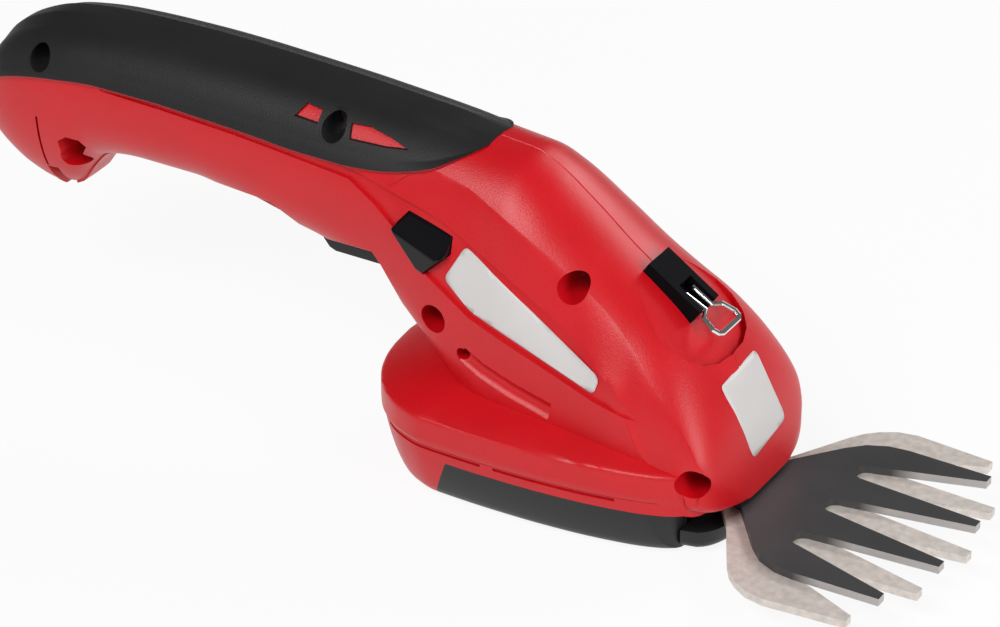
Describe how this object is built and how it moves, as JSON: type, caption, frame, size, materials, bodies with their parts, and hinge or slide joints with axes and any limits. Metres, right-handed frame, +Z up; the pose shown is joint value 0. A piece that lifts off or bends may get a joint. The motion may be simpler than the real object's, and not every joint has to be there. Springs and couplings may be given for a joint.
{
  "type": "cordless grass shears",
  "caption": "Hand-held cordless grass shears: moulded two-half housing with a straight handle, base pod, trigger, geared crank and toothed fixed and swinging blades.",
  "frame": {"origin": "centre of the flat sole, on the surface the tool rests on", "axes": "+X forward to the blades, +Y to the left of the tool, +Z up"},
  "size_m": [0.2767, 0.0828, 0.09],
  "materials": {
    "red_plastic": "fine grain",
    "soft_grip": "matt",
    "black_plastic": "satin",
    "bare_steel": "ground",
    "coated_steel": "satin",
    "bright_wire": "bright",
    "zinc_steel": "plated",
    "bronze": "sintered",
    "nylon": "plain",
    "grey_plastic": "plain",
    "cell_wrap": "shrink wrap",
    "board_green": "lacquer",
    "lead_cover": "plain"
  },
  "bodies": {
    "chassis": {"housing_right": "red_plastic", "housing_left": "red_plastic", "bottom_cover": "red_plastic", "grip_cover": "soft_grip", "sole_shoe": "black_plastic", "blade_holder": "black_plastic", "latch_block": "black_plastic", "lower_blade": "bare_steel", "pivot_bolt": "zinc_steel", "wave_washer": "zinc_steel", "pivot_nut": "zinc_steel", "compound_axle": "zinc_steel", "axle_clip": "zinc_steel", "motor_can": "zinc_steel", "motor_screws": "zinc_steel", "trigger_pin": "zinc_steel", "trigger_spring": "zinc_steel", "lock_spring_right": "zinc_steel", "lock_spring_left": "zinc_steel", "housing_screws": "zinc_steel", "base_screws": "zinc_steel", "cell_straps": "zinc_steel", "crank_bush": "bronze", "gear_tray": "grey_plastic", "motor_end_cap": "grey_plastic", "cell_cradle": "grey_plastic", "charge_socket": "grey_plastic", "switch_body": "grey_plastic", "battery_cells": "cell_wrap", "circuit_board": "board_green", "leads": "lead_cover"},
    "crank": {"crank_gear": "nylon", "crank_shaft": "zinc_steel"},
    "cutter": {"upper_blade": "coated_steel"},
    "compound": {"compound_gear": "nylon"},
    "rotor": {"motor_shaft": "zinc_steel", "pinion": "bronze"},
    "trigger_body": {"trigger": "black_plastic"},
    "plunger": {"switch_plunger": "grey_plastic"},
    "lock_right": {"lock_button_right": "black_plastic"},
    "lock_left": {"lock_button_left": "black_plastic"},
    "bail_body": {"bail": "bright_wire"}
  },
  "joints": [
    {"name": "crank_spin", "type": "hinge", "parent": "chassis", "child": "crank", "pos_m": [0.0264, 0, 0.02], "axis": [0, 0, 1], "range_deg": [-60, 60]},
    {"name": "blade_swing", "type": "hinge", "parent": "chassis", "child": "cutter", "pos_m": [0.04, 0, 0.009], "axis": [0, 0, 1], "range_deg": [-10.2, 10.2]},
    {"name": "compound_spin", "type": "hinge", "parent": "chassis", "child": "compound", "pos_m": [0.012, 0, 0.026], "axis": [0, 0, 1], "range_deg": [-181, 181]},
    {"name": "motor_spin", "type": "hinge", "parent": "chassis", "child": "rotor", "pos_m": [-0.003, 0, 0.04], "axis": [0, 0, 1], "range_deg": [-722, 722]},
    {"name": "trigger_pull", "type": "hinge", "parent": "chassis", "child": "trigger_body", "pos_m": [-0.05001, 0, 0.057], "axis": [0, 1, 0], "range_deg": [0, 11], "stiffness_Nm_per_rad": 0.4, "springref_deg": -6.88, "deforming": ["trigger_spring"]},
    {"name": "plunger_push", "type": "slide", "parent": "chassis", "child": "plunger", "axis": [0, 0, 1], "range_m": [0, 0.0018]},
    {"name": "lock_right_push", "type": "slide", "parent": "chassis", "child": "lock_right", "axis": [0, 1, 0], "range_m": [0, 0.0025], "stiffness_N_per_m": 400, "springref_m": -0.003, "deforming": ["lock_spring_right"]},
    {"name": "lock_left_push", "type": "slide", "parent": "chassis", "child": "lock_left", "axis": [0, -1, 0], "range_m": [0, 0.0025], "stiffness_N_per_m": 400, "springref_m": -0.003, "deforming": ["lock_spring_left"]},
    {"name": "bail_swing", "type": "hinge", "parent": "chassis", "child": "bail_body", "pos_m": [0.02872, 0, 0.05681], "axis": [0, -1, 0], "range_deg": [0, 100]}
  ],
  "couplings": [
    {"joint": "blade_swing", "follows": "crank_spin", "ratio": 0.168},
    {"joint": "compound_spin", "follows": "crank_spin", "ratio": -3},
    {"joint": "motor_spin", "follows": "crank_spin", "ratio": 12},
    {"joint": "plunger_push", "follows": "trigger_pull", "m_per_rad": 0.0088}
  ]
}
